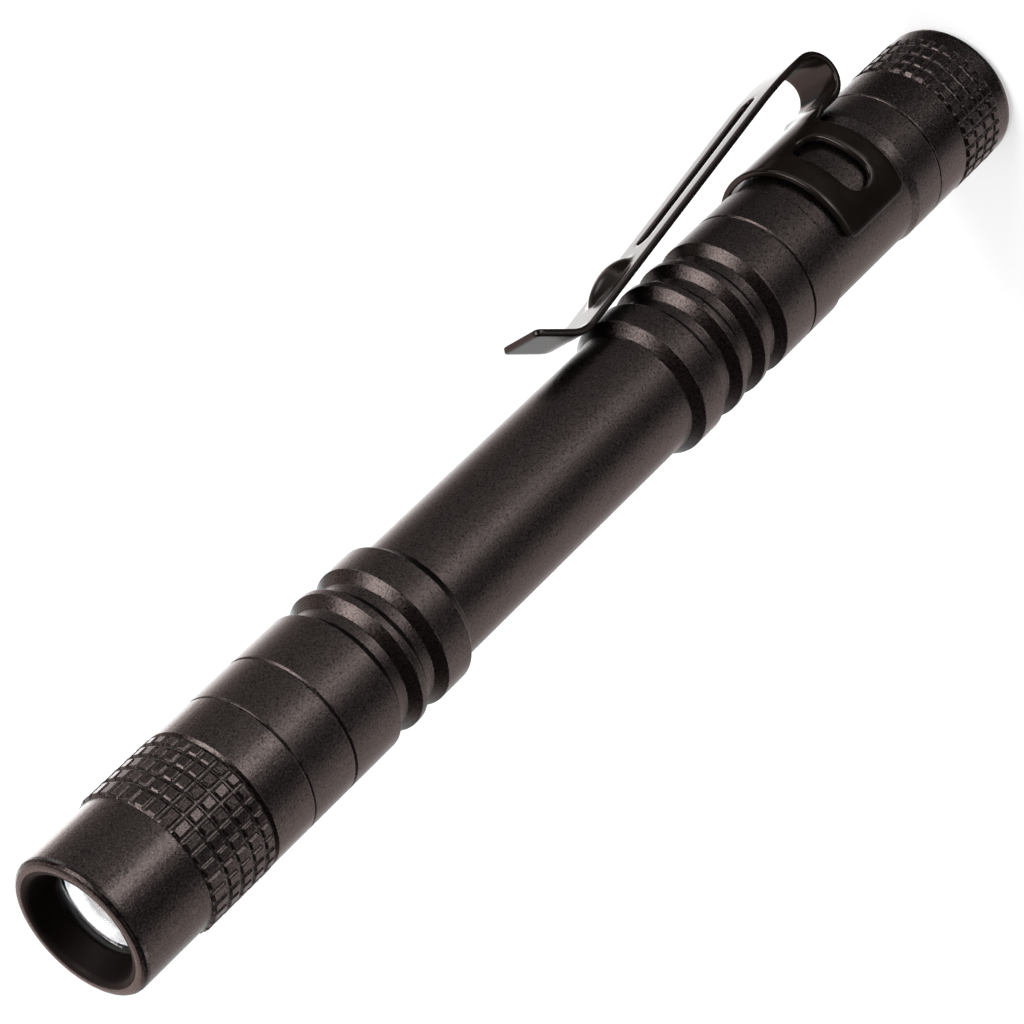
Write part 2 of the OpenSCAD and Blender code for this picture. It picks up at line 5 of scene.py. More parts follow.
import bmesh
import bpy
import numpy as np
from mathutils import Matrix, Vector
from mathutils.geometry import delaunay_2d_cdt


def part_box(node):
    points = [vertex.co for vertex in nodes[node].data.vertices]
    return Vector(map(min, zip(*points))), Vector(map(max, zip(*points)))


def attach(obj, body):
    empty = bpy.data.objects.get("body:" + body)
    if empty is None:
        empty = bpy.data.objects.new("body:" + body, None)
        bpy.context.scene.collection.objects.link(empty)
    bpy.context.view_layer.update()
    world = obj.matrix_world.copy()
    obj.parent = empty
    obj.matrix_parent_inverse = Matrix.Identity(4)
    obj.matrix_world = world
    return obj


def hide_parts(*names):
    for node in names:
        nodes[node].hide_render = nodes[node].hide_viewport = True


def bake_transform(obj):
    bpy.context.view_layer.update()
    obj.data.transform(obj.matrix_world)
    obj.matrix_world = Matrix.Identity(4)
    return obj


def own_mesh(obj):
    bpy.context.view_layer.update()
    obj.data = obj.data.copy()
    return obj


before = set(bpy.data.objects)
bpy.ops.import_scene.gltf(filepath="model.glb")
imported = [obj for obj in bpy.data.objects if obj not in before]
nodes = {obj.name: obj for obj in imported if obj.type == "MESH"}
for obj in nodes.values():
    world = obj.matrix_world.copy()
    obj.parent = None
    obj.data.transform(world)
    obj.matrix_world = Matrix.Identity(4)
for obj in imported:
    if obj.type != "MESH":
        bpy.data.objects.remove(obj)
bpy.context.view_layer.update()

# Sizes are in millimetres along the light's axis (z) and away from it (r); meshes are made in metres.
MM = 0.001


def span(node):
    """Lowest and highest corner of a CAD node, in millimetres."""
    low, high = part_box(node)
    return low / MM, high / MM


# Levels and radii that the frame gives
Z_HEAD = span("head_shell")[0].z
Z_FRONT = span("head_shell")[1].z
Z_CAP = span("tail_cap")[1].z
Z_SPIGOT = span("battery_tube")[0].z
Z_HEAD_SPIGOT = span("battery_tube")[1].z
Z_LENS = span("lens")[0].z
Z_LENS_SEAL = span("lens_seal")[0].z
Z_LIP = span("lens_seal")[1].z
Z_REFLECTOR = span("reflector")[0].z
Z_FLANGE = span("switch_plunger")[0].z
MAIN_R = span("battery_tube")[1].x
KNURL_R = span("head_shell")[1].y
LENS_R = span("lens")[1].x

# Bores and ends of the shells
NOSE_R = 6.76
NOSE_LEN = 8.05
WAIST_R = 6.1
SEAT_R = 6.76
BORE_R = 5.35
SPIGOT_R = 5.85
THREAD_BORE_R = 5.9
SEAL_BORE_R = 6.65
SEAL_ROOM = 0.8
STOP_GAP = 0.15
OPTIC_FIT = 0.06
OPTIC_R = LENS_R + OPTIC_FIT

# Lip: the cone inside the nose, and how far out and down the painted shade in it reaches
MOUTH_R = 5.4
MOUTH_ROUND = 0.75
THROAT_R = 4.25
THROAT_LEN = 0.3
LIP_ROUND = 0.85
LIP_SHADE_R = 5.8
LIP_SHADE_DROP = 0.1

# Tail face with the hole for the button
HOLE_R = 4.2
HOLE_CHAMFER = 0.5
TAIL_WALL = 1.6
TAIL_ROUND = 0.9

# Rounding of edges, from the seams that show to the corners of the inner bores
EDGE = 0.2
SOFT_EDGE = 0.1
CRISP_EDGE = 0.08
FINE_EDGE = 0.05
BORE_EDGE = 0.03

# Knurl
PADS = 34
KNURL_DEPTH = 0.24
KNURL_GAP = 0.52
KNURL_END = 0.28
KNURL_LEAN = 0.07
KNURL_PITCH = 1.53
KNURL_LAND = 0.36
HEAD_ROWS = 5
HEAD_TRIM = 0.12
TAIL_ROWS = 3
TAIL_EXTRA = 0.6
TAIL_KNURL_AT = 2.55
STEP_FOOT = 0.2
STEP_TOP = 0.12

# Tube: places are counted up from the tail cap's seam (rear) and down from the head's seam (front)
SEAT_AT = 3.75
SEAT_RAMP = 1.0
SEAT_LEN = 12.9
SEAT_STEP = 0.2
SEAT_ROUND = 0.15
REAR_LINE_AT = 21.2
REAR_RINGS_AT = 25.7
REAR_END_AT = 38.5
FRONT_LINE_AT = 5.3
FRONT_RINGS_AT = 11.2
FRONT_END_AT = 20.7
WAIST_SLOPE = 1.04
WAIST_EDGE = 0.16
WAIST_ROUND = 0.3

# Ring grooves and scribed lines of the tube
RING_W = 2.9
RING_DEEP = 0.9
RING_PITCH = 3.55
RING_EDGE = 0.14
LINE_DEPTH = 0.18
LINE_ROUND = 0.04

# Threads
THREAD_PITCH = 0.9
THREAD_DEPTH = 0.28
THREAD_FADE = 0.4
THREAD_LEAD = 0.2
THREAD_CLEAR = 0.1

# Clip
SHEET = 0.64
SHEET_EDGE = 0.18
CLIP_W = 5.8
BAND_MID_R = 7.275
BAND_SHIFT = 0.2
BAND_W = 9.05
BAND_HALF = math.radians(111)
BAND_TOP = span("clip_band")[1].z
BAND_ROUND = 0.95
NECK_LEN = 1.8
NECK_ROUND = 0.4
WINDOW = (math.radians(28), math.radians(89.5))
WINDOW_W = 3.6
WINDOW_DROP = 0.25
FOLD_X = 9.85
FOLD_Z = 15.0
FOLD_R = 2.325
BOW_LEN = 7.2
ARM_SLOPE = math.radians(7.72)
ARM_LEN = 31.0
TOE_R = 3.5
TOE_TURN = ARM_SLOPE + math.radians(34.5)
TIP_LEN = 3.9
TIP_ROUND = 0.6
SLOT_AT = 5.5
SLOT_LEN = 21.0
SLOT_W = 1.8
OVAL_ALONG = 24.7
OVAL_HALF = (1.65, 3.4)
OVAL_H = 1.2

# Fineness of the meshes: how near points come to the axis, a hair's breadth, the step over the clip's sheet
AXIS = 1e-4
HAIR = 0.01
PATTERN_STEP = 0.36


def link(name, mesh):
    """A new object of that mesh in the scene."""
    obj = bpy.data.objects.new(name, mesh)
    bpy.context.scene.collection.objects.link(obj)
    return obj


def mark_edges(bm):
    """Stores how sharply the surface turns outward at each point, so that finishes can show worn edges."""
    blunt, sharp = 2, 8
    layer = bm.verts.layers.float.new("edge")
    for vert in bm.verts:
        turns = [0.0]
        for edge in vert.link_edges:
            way = edge.other_vert(vert).co - vert.co
            turns.append(-2 * vert.normal.dot(way) / way.length_squared * MM)
        vert[layer] = min(max((max(turns) - blunt) / (sharp - blunt), 0), 1)


def mesh_object(name, verts, faces):
    """A smooth-shaded, outward-facing mesh from points in millimetres."""
    mesh = bpy.data.meshes.new(name)
    mesh.from_pydata((np.asarray(verts, float) * MM).tolist(), [], faces)
    bm = bmesh.new()
    bm.from_mesh(mesh)
    bmesh.ops.remove_doubles(bm, verts=bm.verts, dist=1e-8)
    bmesh.ops.recalc_face_normals(bm, faces=bm.faces)
    bm.normal_update()
    mark_edges(bm)
    bm.to_mesh(mesh)
    bm.free()
    mesh.shade_smooth()
    return link(name, mesh)


def rounded(corners, steps=4):
    """A closed outline from corners (x, y, radius): each corner becomes an arc of that radius."""
    points = []
    for i, (x, y, radius) in enumerate(corners):
        here = np.array([x, y], float)
        if radius <= 0:
            points.append(here)
            continue
        back = np.array(corners[i - 1][:2], float) - here
        ahead = np.array(corners[(i + 1) % len(corners)][:2], float) - here
        room = 0.49 * min(np.linalg.norm(back), np.linalg.norm(ahead))
        back /= np.linalg.norm(back)
        ahead /= np.linalg.norm(ahead)
        half = math.acos(np.clip(back @ ahead, -1, 1)) / 2
        cut = min(radius / math.tan(half), room)
        middle = (back + ahead) / np.linalg.norm(back + ahead)
        centre = here + middle * cut / math.cos(half)
        first, last = here + back * cut - centre, here + ahead * cut - centre
        turn = math.pi - 2 * half
        for k in range(steps + 1):
            f = k / steps
            spoke = math.sin((1 - f) * turn) * first + math.sin(f * turn) * last
            points.append(centre + spoke / math.sin(turn))
    return np.array(points)


def supported(outline, reach=0.03):
    """The outline with a point close to each end of its long straights, so that shading stays flat there."""
    points = []
    for a, b in zip(outline, np.roll(outline, -1, axis=0)):
        points.append(a)
        length = np.linalg.norm(b - a)
        if length > 6 * reach:
            points += [a + (b - a) * reach / length, b - (b - a) * reach / length]
    return np.array(points)


def part_outline(*pieces):
    """Joins rounded stretches and ready points into one supported outline."""
    corners = []
    for piece in pieces:
        corners += [(*p, 0) if len(p) == 2 else tuple(p) for p in piece]
    return supported(rounded(corners))


def revolve(name, outline, angles, radius_at=None):
    """A closed outline of (r, z) points turned round the axis at the given angles."""
    n, m = len(outline), len(angles)
    r = np.repeat(outline[None, :, 0], m, axis=0)
    z = np.repeat(outline[None, :, 1], m, axis=0)
    a = np.repeat(np.asarray(angles)[:, None], n, axis=1)
    if radius_at:
        r = radius_at(r, z, a)
    verts = np.stack([r * np.cos(a), r * np.sin(a), z], axis=2).reshape(-1, 3)
    faces = [
        (j * n + i, ((j + 1) % m) * n + i, ((j + 1) % m) * n + (i + 1) % n, j * n + (i + 1) % n)
        for j in range(m)
        for i in range(n)
    ]
    return mesh_object(name, verts, faces)


def even(count):
    """That many angles round a full turn."""
    return np.arange(count) * 2 * math.pi / count


# Knurl: flat square pads left between grooves with a round floor

GROOVE_HALF = 0.29
GROOVE_STEPS = GROOVE_HALF * np.array([0, 0.4, 0.75, 1.0])
PAD_EDGE = 0.04
GROOVE_ACROSS = np.concatenate([-GROOVE_STEPS[:0:-1], GROOVE_STEPS])
KNURL_ACROSS = np.concatenate([[-GROOVE_HALF - PAD_EDGE], GROOVE_ACROSS, [GROOVE_HALF + PAD_EDGE]])
KNURL_TURN = 2 * math.pi / PADS


def groove_depth(distance):
    """Depth of a knurl groove at a distance from its middle line."""
    return KNURL_DEPTH * np.sqrt(np.clip(1 - (distance / GROOVE_HALF) ** 2, 0, 1))


def knurl_angles():
    """Angles round a knurl that follow the edges of its pads."""
    return np.concatenate([i * KNURL_TURN + KNURL_ACROSS / KNURL_R for i in range(PADS)])


def knurl_wall(top, rings):
    """Outline points up the pads of a knurl, through the ring grooves below its top."""
    heights = [top - k * KNURL_PITCH for k in range(rings, 0, -1)]
    return [(KNURL_R - groove_depth(step), z + step) for z in heights for step in KNURL_ACROSS]


def knurl_radius(z0, z1):
    """Radius rule that flattens the pads and cuts the grooves along the axis between two heights."""
    pad_half = KNURL_TURN / 2 - GROOVE_HALF / KNURL_R
    outer_wall = NOSE_R - 0.2

    def cut(r, z, a):
        from_groove = np.mod(a + KNURL_TURN / 2, KNURL_TURN) - KNURL_TURN / 2
        from_pad = np.clip(KNURL_TURN / 2 - np.abs(from_groove), 0, pad_half)
        flat = r * math.cos(pad_half) / np.cos(from_pad)
        on_knurl = (z > z0) & (z < z1) & (r > outer_wall)
        return np.where(on_knurl, np.minimum(flat, KNURL_R - groove_depth(from_groove * KNURL_R)), r)

    return cut


# Shells


def make_head():
    """Head shell: seam edge, knurl, smooth nose, rounded lip and the cone down to the lens."""
    z_nose = Z_FRONT - NOSE_LEN
    z_rows = z_nose - KNURL_LAND
    z_knurl = z_rows - (HEAD_ROWS - HEAD_TRIM) * KNURL_PITCH
    z_stop = Z_HEAD_SPIGOT + STOP_GAP
    z_seal = Z_HEAD + SEAL_ROOM
    outline = part_outline(
        [(SEAL_BORE_R, Z_HEAD, FINE_EDGE), (MAIN_R, Z_HEAD, EDGE), (MAIN_R, z_knurl - KNURL_END, FINE_EDGE)],
        [(MAIN_R - KNURL_END, z_knurl, FINE_EDGE), (KNURL_R, z_knurl + KNURL_END + KNURL_LEAN, CRISP_EDGE)],
        knurl_wall(z_rows, HEAD_ROWS - 1),
        [(KNURL_R, z_nose - KNURL_GAP / 2, CRISP_EDGE), (NOSE_R, z_nose, SOFT_EDGE)],
        [(NOSE_R, Z_FRONT, LIP_ROUND), (MOUTH_R, Z_FRONT, MOUTH_ROUND)],
        [(THROAT_R, Z_LIP + THROAT_LEN, FINE_EDGE), (THROAT_R, Z_LIP, FINE_EDGE)],
        [(OPTIC_R, Z_LIP, BORE_EDGE), (OPTIC_R, z_stop, BORE_EDGE)],
        [(THREAD_BORE_R, z_stop, BORE_EDGE), (THREAD_BORE_R, z_seal, FINE_EDGE)],
        [(SEAL_BORE_R, z_seal, FINE_EDGE)],
    )
    head = revolve("head_body", outline, knurl_angles(), knurl_radius(z_knurl - HAIR, z_nose + HAIR))
    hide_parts("head_shell")
    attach(head, "head")
    return head


def make_tail():
    """Tail cap: rounded tail edge round the button hole, knurl and seam edge."""
    z0 = TAIL_KNURL_AT
    z1 = z0 + (TAIL_ROWS + TAIL_EXTRA) * KNURL_PITCH
    z_seal = Z_CAP - SEAL_ROOM
    # points on either side of the height where the grooves along the axis end
    groove_end = [(KNURL_R, z0 - 0.02), (KNURL_R, z0 + 0.08)]
    outline = part_outline(
        [(HOLE_R, TAIL_WALL, FINE_EDGE), (HOLE_R, HOLE_CHAMFER, SOFT_EDGE)],
        [(HOLE_R + HOLE_CHAMFER, 0, EDGE), (MAIN_R, 0, TAIL_ROUND)],
        [(MAIN_R, z0 - STEP_FOOT, FINE_EDGE), (KNURL_R, z0 - STEP_TOP, FINE_EDGE)],
        groove_end,
        knurl_wall(z1, TAIL_ROWS),
        [(KNURL_R, z1 - KNURL_END - KNURL_LEAN, CRISP_EDGE), (MAIN_R - KNURL_END, z1, FINE_EDGE)],
        [(MAIN_R, z1 + KNURL_END, FINE_EDGE), (MAIN_R, Z_CAP, EDGE)],
        [(SEAL_BORE_R, Z_CAP, FINE_EDGE), (SEAL_BORE_R, z_seal, FINE_EDGE)],
        [(THREAD_BORE_R, z_seal, FINE_EDGE), (THREAD_BORE_R, TAIL_WALL, FINE_EDGE)],
    )
    tail = revolve("tail_body", outline, knurl_angles(), knurl_radius(z0, z1))
    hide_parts("tail_cap")
    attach(tail, "tail")
    return tail


def ring_groove(z):
    """Corners of one trapezoid ring groove that starts at height z."""
    deep = MAIN_R - RING_DEEP
    return [
        (MAIN_R, z, RING_EDGE),
        (deep, z + RING_DEEP, EDGE),
        (deep, z + RING_W - RING_DEEP, EDGE),
        (MAIN_R, z + RING_W, RING_EDGE),
    ]


def scribed_line(z):
    """Corners of a V line scribed round the tube."""
    return [
        (MAIN_R, z - LINE_DEPTH, FINE_EDGE),
        (MAIN_R - LINE_DEPTH, z, LINE_ROUND),
        (MAIN_R, z + LINE_DEPTH, FINE_EDGE),
    ]


def thread_wall(z0, z1, steps_per_turn=9):
    """Plain outline points along a threaded spigot."""
    count = int(round((z1 - z0) / THREAD_PITCH * steps_per_turn))
    return [(SPIGOT_R, z0 + (z1 - z0) * i / count) for i in range(count + 1)]


def thread_radius(stretches):
    """Radius rule that winds a right-hand thread with rounded crests on each spigot."""
    steep, crest = 1.5, 0.2

    def wound(r, z, a):
        turn = np.mod(z / THREAD_PITCH - a / (2 * math.pi), 1.0)
        depth = THREAD_DEPTH * np.clip(steep * np.abs(2 * turn - 1) - crest, 0, 1)
        out = r
        for z0, z1 in stretches:
            fade = np.clip((z - z0) / THREAD_FADE, 0, 1) * np.clip((z1 - z) / THREAD_FADE, 0, 1)
            on = (np.abs(r - SPIGOT_R) < 1e-6) & (z >= z0) & (z <= z1)
            out = np.where(on, r - depth * fade, out)
        return out

    return wound


def make_tube():
    """Battery tube: threaded spigots, clip seat, scribed lines, ring grooves and a slim waist."""
    z_seat = Z_CAP + SEAT_AT
    z_seat_end = z_seat + SEAT_LEN
    z_rear_end = Z_CAP + REAR_END_AT
    z_front_end = Z_HEAD - FRONT_END_AT
    z_front_rings = Z_HEAD - FRONT_RINGS_AT - RING_W
    rear_threads = (Z_SPIGOT + THREAD_LEAD, Z_CAP - SEAL_ROOM - THREAD_CLEAR)
    front_threads = (Z_HEAD + SEAL_ROOM + THREAD_CLEAR, Z_HEAD_SPIGOT - THREAD_LEAD)
    rear_rings = [p for i in range(3) for p in ring_groove(Z_CAP + REAR_RINGS_AT + i * RING_PITCH)]
    front_rings = [p for i in (1, 0) for p in ring_groove(z_front_rings - i * RING_PITCH)]
    outline = part_outline(
        [(BORE_R, Z_SPIGOT, SOFT_EDGE), (SPIGOT_R, Z_SPIGOT, EDGE)],
        thread_wall(*rear_threads),
        [(SPIGOT_R, Z_CAP, FINE_EDGE), (MAIN_R, Z_CAP, EDGE)],
        [(MAIN_R, z_seat, SEAT_ROUND), (SEAT_R, z_seat + SEAT_RAMP, SEAT_ROUND)],
        [(SEAT_R, z_seat_end, CRISP_EDGE), (MAIN_R, z_seat_end + SEAT_STEP, CRISP_EDGE)],
        scribed_line(Z_CAP + REAR_LINE_AT),
        rear_rings,
        [(MAIN_R, z_rear_end, WAIST_EDGE), (WAIST_R, z_rear_end + WAIST_SLOPE, WAIST_ROUND)],
        [(WAIST_R, z_front_end - WAIST_SLOPE, WAIST_ROUND), (MAIN_R, z_front_end, WAIST_EDGE)],
        front_rings,
        scribed_line(Z_HEAD - FRONT_LINE_AT),
        [(MAIN_R, Z_HEAD, EDGE), (SPIGOT_R, Z_HEAD, FINE_EDGE)],
        thread_wall(*front_threads),
        [(SPIGOT_R, Z_HEAD_SPIGOT, EDGE), (BORE_R, Z_HEAD_SPIGOT, SOFT_EDGE)],
    )
    tube = revolve("tube_body", outline, even(240), thread_radius([rear_threads, front_threads]))
    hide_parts("battery_tube")
    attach(tube, "tube")
    return tube


# Clip: one blank of sheet, mapped from its flat pattern (w across, v along) to its bent form

V_BAND = BAND_W
V_FLAT = BAND_W + NECK_LEN
V_FOLD = BAND_TOP - FOLD_Z
V_BOW = V_FOLD + FOLD_R * math.pi
V_ARM = V_BOW + BOW_LEN
V_END = V_ARM + ARM_LEN + TOE_R * TOE_TURN + TIP_LEN
OVAL_AT = V_ARM + OVAL_ALONG

# The strip from the fold on: length and turn of its fold, its bow toward the tube, straight, toe and tip
LEGS = [
    (FOLD_R * math.pi, math.pi),
    (BOW_LEN, ARM_SLOPE),
    (ARM_LEN, 0),
    (TOE_R * TOE_TURN, -TOE_TURN),
    (TIP_LEN, 0),
]

# Rings of points over the pressed oval, as shares of its half widths, close together where it is steep
OVAL_RINGS = (0.12, 0.25, 0.38, 0.5, 0.61, 0.71, 0.79, 0.86, 0.91, 0.95, 0.98, 1.01, 1.05, 1.12)
OVAL_CLEAR = 1.2


def oval_share(w, v):
    """How far out a point of the pattern lies from the pressed oval's middle; 1 is its rim."""
    return np.hypot(w / OVAL_HALF[0], (v - OVAL_AT) / OVAL_HALF[1])


def oval_height(w, v):
    """Height of the pressed oval near the toe: a full crown that eases out into the sheet."""
    q = oval_share(w, v)
    fullness, ease, out = 0.75, 0.94, 1.12
    crown = np.clip(1 - q**2, 0, 1) ** fullness
    foot = (1 - ease**2) ** fullness * (np.clip(out - q, 0, 1) / (out - ease)) ** 2
    return OVAL_H * np.where(q < ease, crown, foot)


def arm_line(v):
    """The strip's middle line from the fold on: x, z and heading at the lengths v of the pattern."""
    done, turned = V_FOLD, -math.pi / 2
    x, z, heading = FOLD_X - FOLD_R, FOLD_Z, turned
    for length, turn in LEGS:
        part = np.clip(v - done, 0, length)
        if turn:
            radius = length / turn
            now = turned + part / radius
            x = x + radius * (np.sin(now) - math.sin(turned))
            z = z - radius * (np.cos(now) - math.cos(turned))
            heading = heading + part / radius
        else:
            x = x + part * math.cos(turned)
            z = z + part * math.sin(turned)
        done += length
        turned += turn
    return x, z, heading


def bent(w, v, h):
    """Place in space of a point of the flat pattern; h is the height over the sheet's middle."""
    w, v, h = (np.asarray(x, float) for x in (w, v, h))
    h = h - oval_height(w, v)
    # the band on its cylinder and the tongue, which turns flat below it
    angle = w / BAND_MID_R
    round_x = BAND_SHIFT + (BAND_MID_R + h) * np.cos(angle)
    round_y = (BAND_MID_R + h) * np.sin(angle)
    f = np.clip((v - V_BAND) / (V_FLAT - V_BAND), 0, 1)
    f = f * f * (3 - 2 * f)
    x = (1 - f) * round_x + f * (FOLD_X - FOLD_R + h)
    y = (1 - f) * round_y + f * w
    z = BAND_TOP - v
    # the fold and the arm
    on_arm = v > V_FOLD
    arm_x, arm_z, heading = arm_line(v)
    x = np.where(on_arm, arm_x - h * np.sin(heading), x)
    y = np.where(on_arm, w, y)
    z = np.where(on_arm, arm_z + h * np.cos(heading), z)
    return np.stack([x, y, z], axis=-1)


def pattern_loop(corners):
    """Points round a loop of the flat pattern, at most a step apart."""
    arcs = rounded(corners, 7)
    points = []
    for a, b in zip(arcs, np.roll(arcs, -1, axis=0)):
        count = max(1, int(math.ceil(np.linalg.norm(b - a) / PATTERN_STEP)))
        points += [a + (b - a) * i / count for i in range(count)]
    return np.array(points)


def loop_normals(loop):
    """Unit normals of a closed loop, to the right of its direction."""
    ahead = np.roll(loop, -1, axis=0) - np.roll(loop, 1, axis=0)
    ahead /= np.linalg.norm(ahead, axis=1)[:, None]
    return np.stack([ahead[:, 1], -ahead[:, 0]], axis=1)


def pill(w, v, width, length, along_v):
    """Corners of a slot with round ends, centred on (w, v), that runs the other way round."""
    half_w, half_v = (width / 2, length / 2) if along_v else (length / 2, width / 2)
    # just under half the width, so that the two arcs of an end don't meet in one point
    r = 0.499 * width
    return [
        (w - half_w, v - half_v, r),
        (w - half_w, v + half_v, r),
        (w + half_w, v + half_v, r),
        (w + half_w, v - half_v, r),
    ]


def inside(points, loop):
    """True for the points inside a closed loop."""
    x, y = points[:, 0][:, None], points[:, 1][:, None]
    a, b = loop, np.roll(loop, -1, axis=0)
    crosses = (a[:, 1] > y) != (b[:, 1] > y)
    with np.errstate(divide="ignore", invalid="ignore"):
        at = a[:, 0] + (y - a[:, 1]) * (b[:, 0] - a[:, 0]) / (b[:, 1] - a[:, 1])
    return (crosses & (x < at)).sum(axis=1) % 2 == 1


def on_sheet(points, loops):
    """True for the points inside the first loop and outside all others, which are holes."""
    keep = inside(points, loops[0])
    for hole in loops[1:]:
        keep &= ~inside(points, hole)
    return keep


def clip_loops():
    """Loops of the clip's flat pattern: its outline, the two windows and the slot."""
    reach = BAND_MID_R * BAND_HALF
    half = CLIP_W / 2
    outer = [
        (-reach, 0, BAND_ROUND),
        (reach, 0, BAND_ROUND),
        (reach, V_BAND, BAND_ROUND),
        (half, V_BAND, NECK_ROUND),
        (half, V_END, TIP_ROUND),
        (-half, V_END, TIP_ROUND),
        (-half, V_BAND, NECK_ROUND),
        (-reach, V_BAND, BAND_ROUND),
    ]
    window_mid = BAND_MID_R * (WINDOW[0] + WINDOW[1]) / 2
    window_len = BAND_MID_R * (WINDOW[1] - WINDOW[0])
    window_v = V_BAND / 2 + WINDOW_DROP
    holes = [pill(side * window_mid, window_v, WINDOW_W, window_len, False) for side in (-1, 1)]
    holes.append(pill(0, V_BOW + SLOT_AT + SLOT_LEN / 2, SLOT_W, SLOT_LEN, True))
    return [pattern_loop(corners) for corners in [outer] + holes]


def inner_points(loops, clear=0.3):
    """A grid of points over the pattern, clear of its edges, with rings round the pressed oval."""
    low, high = loops[0].min(axis=0), loops[0].max(axis=0)
    across, along = (np.arange(low[i], high[i], PATTERN_STEP) for i in (0, 1))
    w, v = np.meshgrid(across, along)
    grid = np.stack([w.ravel(), v.ravel()], axis=1)
    edge = np.concatenate(loops)
    near = np.array([np.min(np.hypot(*(edge - p).T)) < clear for p in grid])
    off_oval = oval_share(grid[:, 0], grid[:, 1]) > OVAL_CLEAR
    rings = [
        (q * OVAL_HALF[0] * math.cos(a), OVAL_AT + q * OVAL_HALF[1] * math.sin(a))
        for q in OVAL_RINGS
        for a in even(44)
    ]
    return np.concatenate([grid[on_sheet(grid, loops) & ~near & off_oval], rings, [(0, OVAL_AT)]])


def fill_pattern(loops):
    """Points and triangles that fill the flat pattern; the points of its loops come first."""
    points = np.concatenate(loops + [inner_points(loops)])
    edges, start = [], 0
    for loop in loops:
        n = len(loop)
        edges += [(start + i, start + (i + 1) % n) for i in range(n)]
        start += n
    flat, _, tris, _, _, _ = delaunay_2d_cdt([Vector(p) for p in points], edges, [], 0, 1e-7)
    flat = np.array([tuple(p) for p in flat])
    tris = np.array([tuple(t) for t in tris])
    return flat, tris[on_sheet(flat[tris].mean(axis=1), loops)]


def rim_rows():
    """Steps round the sheet's rounded edge, from its upper face to its lower: how far out and how high."""
    level = SHEET / 2 - SHEET_EDGE
    turns = np.radians([67.5, 45, 22.5, 0])
    upper = [(SHEET_EDGE * math.cos(a), level + SHEET_EDGE * math.sin(a)) for a in turns]
    return upper + [(out, -h) for out, h in upper[::-1]]


def make_clip():
    """The clip as one closed sheet with rounded edges, which bends at its fold."""
    loops = clip_loops()
    normals = [loop_normals(loop) for loop in loops]
    loops = [loop - SHEET_EDGE * normal for loop, normal in zip(loops, normals)]
    flat, tris = fill_pattern(loops)
    count = len(flat)
    verts = [bent(flat[:, 0], flat[:, 1], h) for h in (SHEET / 2, -SHEET / 2)]
    faces = [tuple(t) for t in tris] + [tuple(t[::-1] + count) for t in tris]
    start, total = 0, 2 * count
    for loop, normal in zip(loops, normals):
        n = len(loop)
        rings = [np.arange(start, start + n)]
        for out, h in rim_rows():
            place = loop + out * normal
            verts.append(bent(place[:, 0], place[:, 1], h))
            rings.append(np.arange(total, total + n))
            total += n
        rings.append(np.arange(start, start + n) + count)
        for a, b in zip(rings, rings[1:]):
            faces += [(a[i], a[(i + 1) % n], b[(i + 1) % n], b[i]) for i in range(n)]
        start += n
    clip = mesh_object("spring_clip", np.concatenate(verts), [tuple(int(i) for i in f) for f in faces])
    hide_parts("clip_band", "clip_arm")
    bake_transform(clip)
    return clip


# Optics


def make_lens():
    """Lens: a flat disc with a shallow polished dome."""
    dome_r, dome_h, rings = 4.2, 0.7, 14
    foot_r = dome_r + 0.05
    sphere = (dome_r**2 + dome_h**2) / (2 * dome_h)
    top = Z_LENS_SEAL
    radii = [dome_r * (1 - i / rings) for i in range(rings)]
    dome = [(r, top + dome_h - sphere + math.sqrt(sphere**2 - r**2)) for r in radii]
    outline = part_outline(
        [(AXIS, Z_LENS), (LENS_R, Z_LENS, CRISP_EDGE), (LENS_R, top, CRISP_EDGE), (foot_r, top)],
        dome,
        [(AXIS, top + dome_h)],
    )
    lens = revolve("front_lens", outline, even(160))
    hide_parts("lens")
    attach(lens, "head")
    return lens


def make_reflector():
    """Reflector: a deep polished bowl with a rolled rim and a thin wall."""
    rim_w, rim_h, rim_under = 0.5, 1.2, 0.7
    r_hole, neck_w, neck_h, neck_top = 1.9, 1.4, 0.5, 0.8
    r_mouth, r_neck = LENS_R - rim_w, r_hole + neck_w
    height = Z_LENS - Z_REFLECTOR - neck_h
    steps = 28
    curve = []
    for i in range(steps + 1):
        r = r_hole + (r_mouth - r_hole) * i / steps
        rise = (r**2 - r_hole**2) / (r_mouth**2 - r_hole**2)
        curve.append((r, Z_REFLECTOR + neck_h + height * rise))
    outline = part_outline(
        [(r_hole, Z_REFLECTOR, FINE_EDGE)],
        curve,
        [(LENS_R, Z_LENS, SOFT_EDGE), (LENS_R, Z_LENS - rim_h, SOFT_EDGE)],
        [(LENS_R - rim_under, Z_LENS - rim_h, SOFT_EDGE)],
        [(r_neck, Z_REFLECTOR + neck_top, SOFT_EDGE), (r_neck, Z_REFLECTOR, SOFT_EDGE)],
    )
    bowl = revolve("lamp_reflector", outline, even(160))
    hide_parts("reflector")
    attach(bowl, "head")
    return bowl


# Seals, button and springs


def make_seal(name, node, body):
    """A round-section seal ring in the place of its CAD node."""
    low, high = span(node)
    half = (high.z - low.z) / 2
    middle = high.x - half
    outline = [(middle + half * math.cos(a), (low.z + high.z) / 2 + half * math.sin(a)) for a in even(24)]
    seal = revolve(name, np.array(outline), even(120))
    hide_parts(node)
    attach(seal, body)
    return seal


